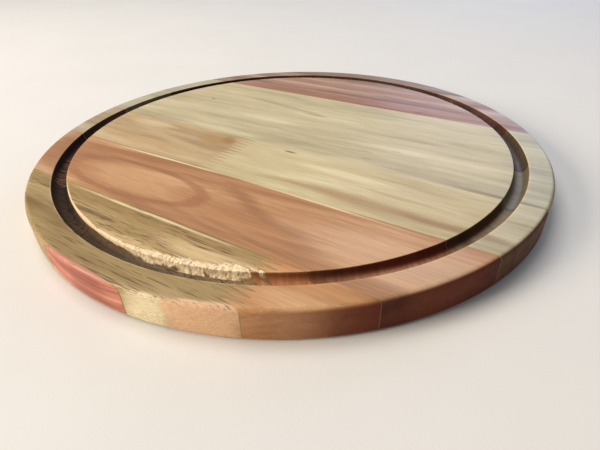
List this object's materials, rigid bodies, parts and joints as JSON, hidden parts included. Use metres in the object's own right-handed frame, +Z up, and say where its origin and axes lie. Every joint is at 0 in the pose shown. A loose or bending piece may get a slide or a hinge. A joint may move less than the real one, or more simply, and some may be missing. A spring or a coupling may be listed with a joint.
{
  "type": "round serving board",
  "caption": "Round edge-glued wooden serving and chopping board with a routed juice groove and softened edges.",
  "frame": {"origin": "centre of the flat underside, on the surface the board stands on", "axes": "+X along the grain of the staves, +Y across the staves from the front sliver to the back stave, +Z up out of the grooved face"},
  "size_m": [0.33, 0.33, 0.018],
  "materials": {
    "wood_tan": "oiled satin, orange-tan heartwood",
    "wood_pink": "oiled satin, pink-brown heartwood",
    "wood_cream": "oiled satin, cream sapwood with grey-olive streaks",
    "wood_straw": "oiled satin, straw-coloured wood with a brown patch",
    "wood_orange": "oiled satin, orange-brown heartwood with a cathedral figure",
    "wood_olive": "oiled satin, olive-cream wood with dark pore streaks",
    "wood_red": "oiled satin, red heartwood",
    "glue": "cured wood glue, dark and thin"
  },
  "bodies": {
    "root": {"stave_1": "wood_tan", "stave_2": "wood_pink", "stave_3": "wood_cream", "stave_4": "wood_cream", "stave_5_left": "wood_straw", "stave_5_right": "wood_cream", "stave_6": "wood_orange", "stave_7_left": "wood_olive", "stave_7_right": "wood_orange", "stave_8": "wood_red", "glue_line_1_2": "glue", "glue_line_2_3": "glue", "glue_line_3_4": "glue", "glue_line_4_5": "glue", "glue_line_5_6": "glue", "glue_line_6_7": "glue", "glue_line_7_8": "glue", "finger_glue_5": "glue", "finger_glue_7": "glue"}
  },
  "joints": []
}
